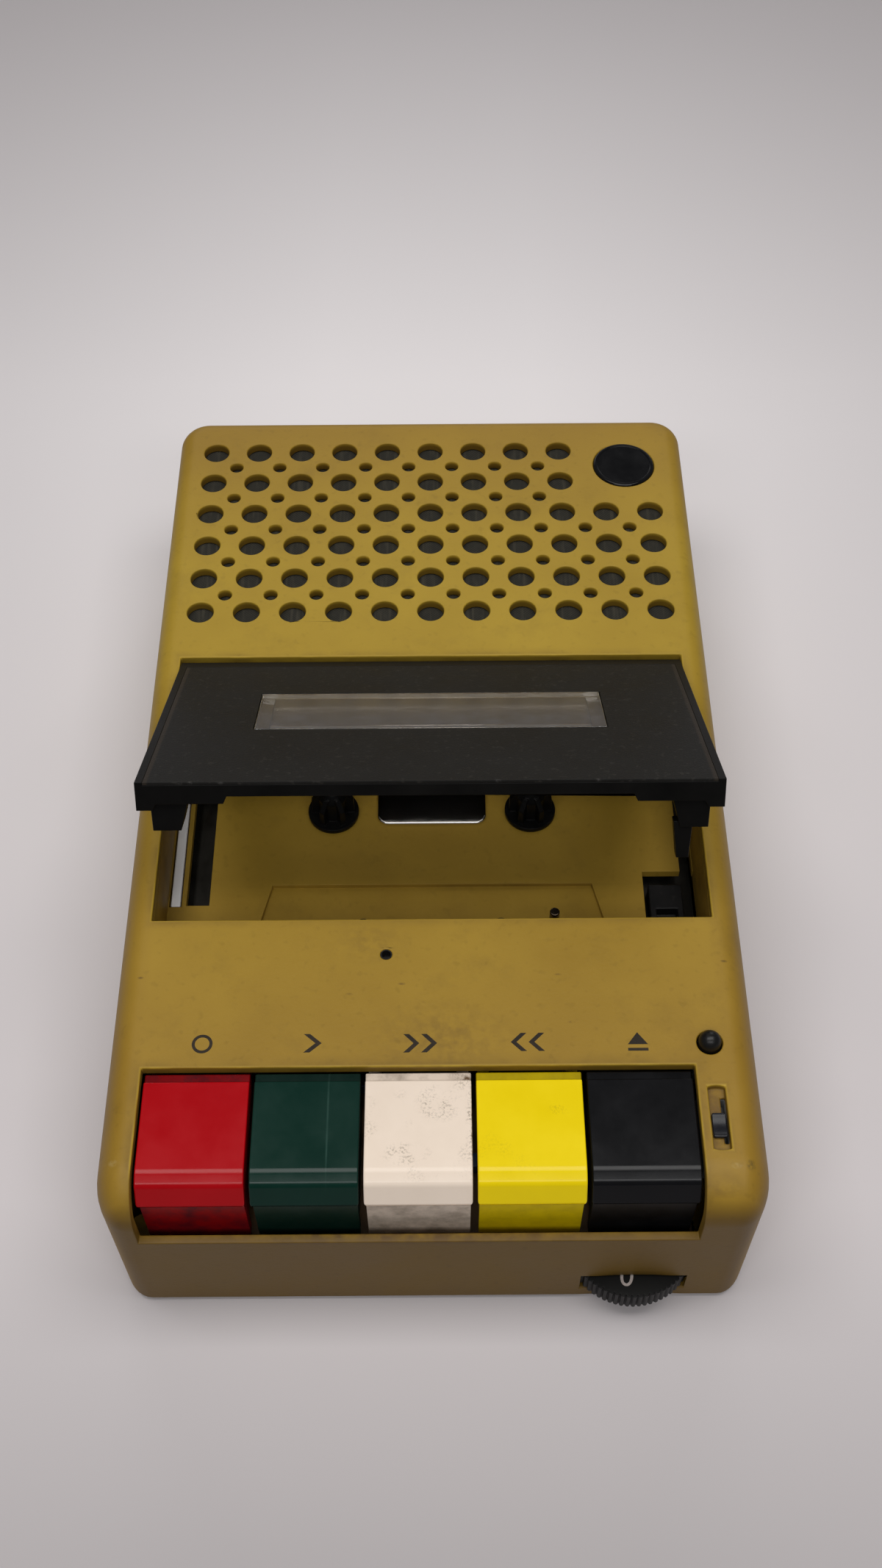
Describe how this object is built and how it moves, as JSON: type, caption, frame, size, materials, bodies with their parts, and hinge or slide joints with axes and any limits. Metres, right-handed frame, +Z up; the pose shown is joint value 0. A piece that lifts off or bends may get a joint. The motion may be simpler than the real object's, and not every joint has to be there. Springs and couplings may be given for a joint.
{
  "type": "portable cassette recorder",
  "caption": "Flat box tape recorder with piano keys along the front edge, a hinged cassette lid with a window and a perforated speaker grille behind it.",
  "frame": {"origin": "centre of the overall box on the surface that the feet stand on", "axes": "+X to the right, +Y from the key side to the grille side, +Z up"},
  "size_m": [0.123, 0.21, 0.0771],
  "materials": {
    "mustard": "moulded, worn satin",
    "lid_black": "fine grained",
    "window_clear": "clear plastic, polished",
    "key_red": "gloss",
    "key_green": "gloss",
    "key_cream": "gloss, soiled",
    "key_yellow": "gloss",
    "key_black": "gloss",
    "black_plastic": "moulded",
    "rubber": "matt",
    "steel": "bright",
    "chrome": "polished",
    "brass": "turned",
    "zinc_steel": "plated",
    "cell_case": "plain wrap",
    "magnet": "bare",
    "paper": "pressed paper",
    "cloth": "woven",
    "board": "laminate",
    "board_part": "lacquered",
    "grey_plastic": "moulded"
  },
  "bodies": {
    "root": {"upper_case": "mustard", "bottom_cover": "mustard", "cassette_deck": "mustard", "rubber_feet": "rubber", "case_screws": "steel", "round_badge": "black_plastic", "lid_hinge_pin": "steel", "lid_springs": "steel", "lid_rail": "chrome", "lid_catch": "grey_plastic", "cassette_pins": "black_plastic", "reflector_plate": "chrome", "spindle_bushes": "brass", "capstan_bush": "brass", "motor": "zinc_steel", "drive_belt": "rubber", "chassis_plate": "zinc_steel", "chassis_screws": "steel", "key_shaft": "steel", "key_springs": "steel", "slide_switch": "grey_plastic", "button_switch": "grey_plastic", "volume_pot": "grey_plastic", "speaker_frame": "zinc_steel", "speaker_magnet": "magnet", "speaker_cone": "paper", "grille_cloth": "cloth", "circuit_board": "board", "board_parts": "board_part", "battery_cells": "cell_case", "battery_contacts": "steel", "din_socket": "black_plastic", "power_socket": "black_plastic"},
    "battery_door": {"battery_door": "mustard"},
    "lid": {"lid_frame": "lid_black", "lid_plate": "lid_black", "lid_window": "window_clear"},
    "left_reel": {"left_spindle": "black_plastic", "left_reel_disc": "grey_plastic"},
    "right_reel": {"right_spindle": "black_plastic", "right_reel_disc": "grey_plastic"},
    "flywheel": {"flywheel": "zinc_steel", "capstan": "steel"},
    "motor_pulley": {"motor_pulley": "brass"},
    "head_carriage": {"head_carriage": "zinc_steel", "play_head": "steel", "erase_head": "grey_plastic", "pinch_axle": "steel"},
    "pinch_roller": {"pinch_roller": "rubber"},
    "key_record": {"key_record": "key_red"},
    "key_play": {"key_play": "key_green"},
    "key_forward": {"key_forward": "key_cream"},
    "key_rewind": {"key_rewind": "key_yellow"},
    "key_eject": {"key_eject": "key_black"},
    "slide_knob": {"slide_knob": "black_plastic"},
    "push_button": {"push_button": "black_plastic"},
    "volume_wheel": {"volume_wheel": "black_plastic"}
  },
  "joints": [
    {"name": "lid_hinge", "type": "hinge", "parent": "root", "child": "lid", "pos_m": [0, 0.0245, 0.0426], "axis": [-1, 0, 0], "range_deg": [-29.8, 0], "stiffness_Nm_per_rad": 0.02, "springref_deg": 34.38},
    {"name": "key_record_press", "type": "hinge", "parent": "root", "child": "key_record", "pos_m": [0, -0.062, 0.036], "axis": [1, 0, 0], "range_deg": [0, 8], "stiffness_Nm_per_rad": 0.05, "springref_deg": -5.73},
    {"name": "key_play_press", "type": "hinge", "parent": "root", "child": "key_play", "pos_m": [0, -0.062, 0.036], "axis": [1, 0, 0], "range_deg": [0, 8], "stiffness_Nm_per_rad": 0.05, "springref_deg": -5.73},
    {"name": "key_forward_press", "type": "hinge", "parent": "root", "child": "key_forward", "pos_m": [0, -0.062, 0.036], "axis": [1, 0, 0], "range_deg": [0, 8], "stiffness_Nm_per_rad": 0.05, "springref_deg": -5.73},
    {"name": "key_rewind_press", "type": "hinge", "parent": "root", "child": "key_rewind", "pos_m": [0, -0.062, 0.036], "axis": [1, 0, 0], "range_deg": [0, 8], "stiffness_Nm_per_rad": 0.05, "springref_deg": -5.73},
    {"name": "key_eject_press", "type": "hinge", "parent": "root", "child": "key_eject", "pos_m": [0, -0.062, 0.036], "axis": [1, 0, 0], "range_deg": [0, 8], "stiffness_Nm_per_rad": 0.05, "springref_deg": -5.73},
    {"name": "head_slide", "type": "slide", "parent": "root", "child": "head_carriage", "axis": [0, 1, 0], "range_m": [0, 0.0046]},
    {"name": "pinch_roller_spin", "type": "hinge", "parent": "head_carriage", "child": "pinch_roller", "pos_m": [0.0248, -0.0485, 0.0294], "axis": [0, 0, 1], "continuous": true},
    {"name": "left_reel_spin", "type": "hinge", "parent": "root", "child": "left_reel", "pos_m": [-0.02125, -0.0046, 0.0294], "axis": [0, 0, 1], "continuous": true},
    {"name": "right_reel_spin", "type": "hinge", "parent": "root", "child": "right_reel", "pos_m": [0.02125, -0.0046, 0.0294], "axis": [0, 0, 1], "continuous": true},
    {"name": "flywheel_spin", "type": "hinge", "parent": "root", "child": "flywheel", "pos_m": [0.0248, -0.0357, 0.01], "axis": [0, 0, 1], "continuous": true},
    {"name": "motor_pulley_spin", "type": "hinge", "parent": "root", "child": "motor_pulley", "pos_m": [-0.04105, 0.0136, 0.01], "axis": [0, 0, 1], "continuous": true},
    {"name": "slide_switch_move", "type": "slide", "parent": "root", "child": "slide_knob", "axis": [0, 1, 0], "range_m": [-0.0022, 0.0046]},
    {"name": "button_press", "type": "slide", "parent": "root", "child": "push_button", "axis": [0, 0, -1], "range_m": [0, 0.0015], "stiffness_N_per_m": 200, "springref_m": -0.001},
    {"name": "volume_turn", "type": "hinge", "parent": "root", "child": "volume_wheel", "pos_m": [0.0384, -0.0923, 0.01], "axis": [0, 0, 1], "range_deg": [0, 270]},
    {"name": "battery_door_out", "type": "slide", "parent": "root", "child": "battery_door", "axis": [0, 0, -1], "range_m": [0, 0.03]}
  ],
  "couplings": [
    {"joint": "head_slide", "follows": "key_play_press", "m_per_rad": 0.03294},
    {"joint": "motor_pulley_spin", "follows": "flywheel_spin", "ratio": 4.7619}
  ]
}
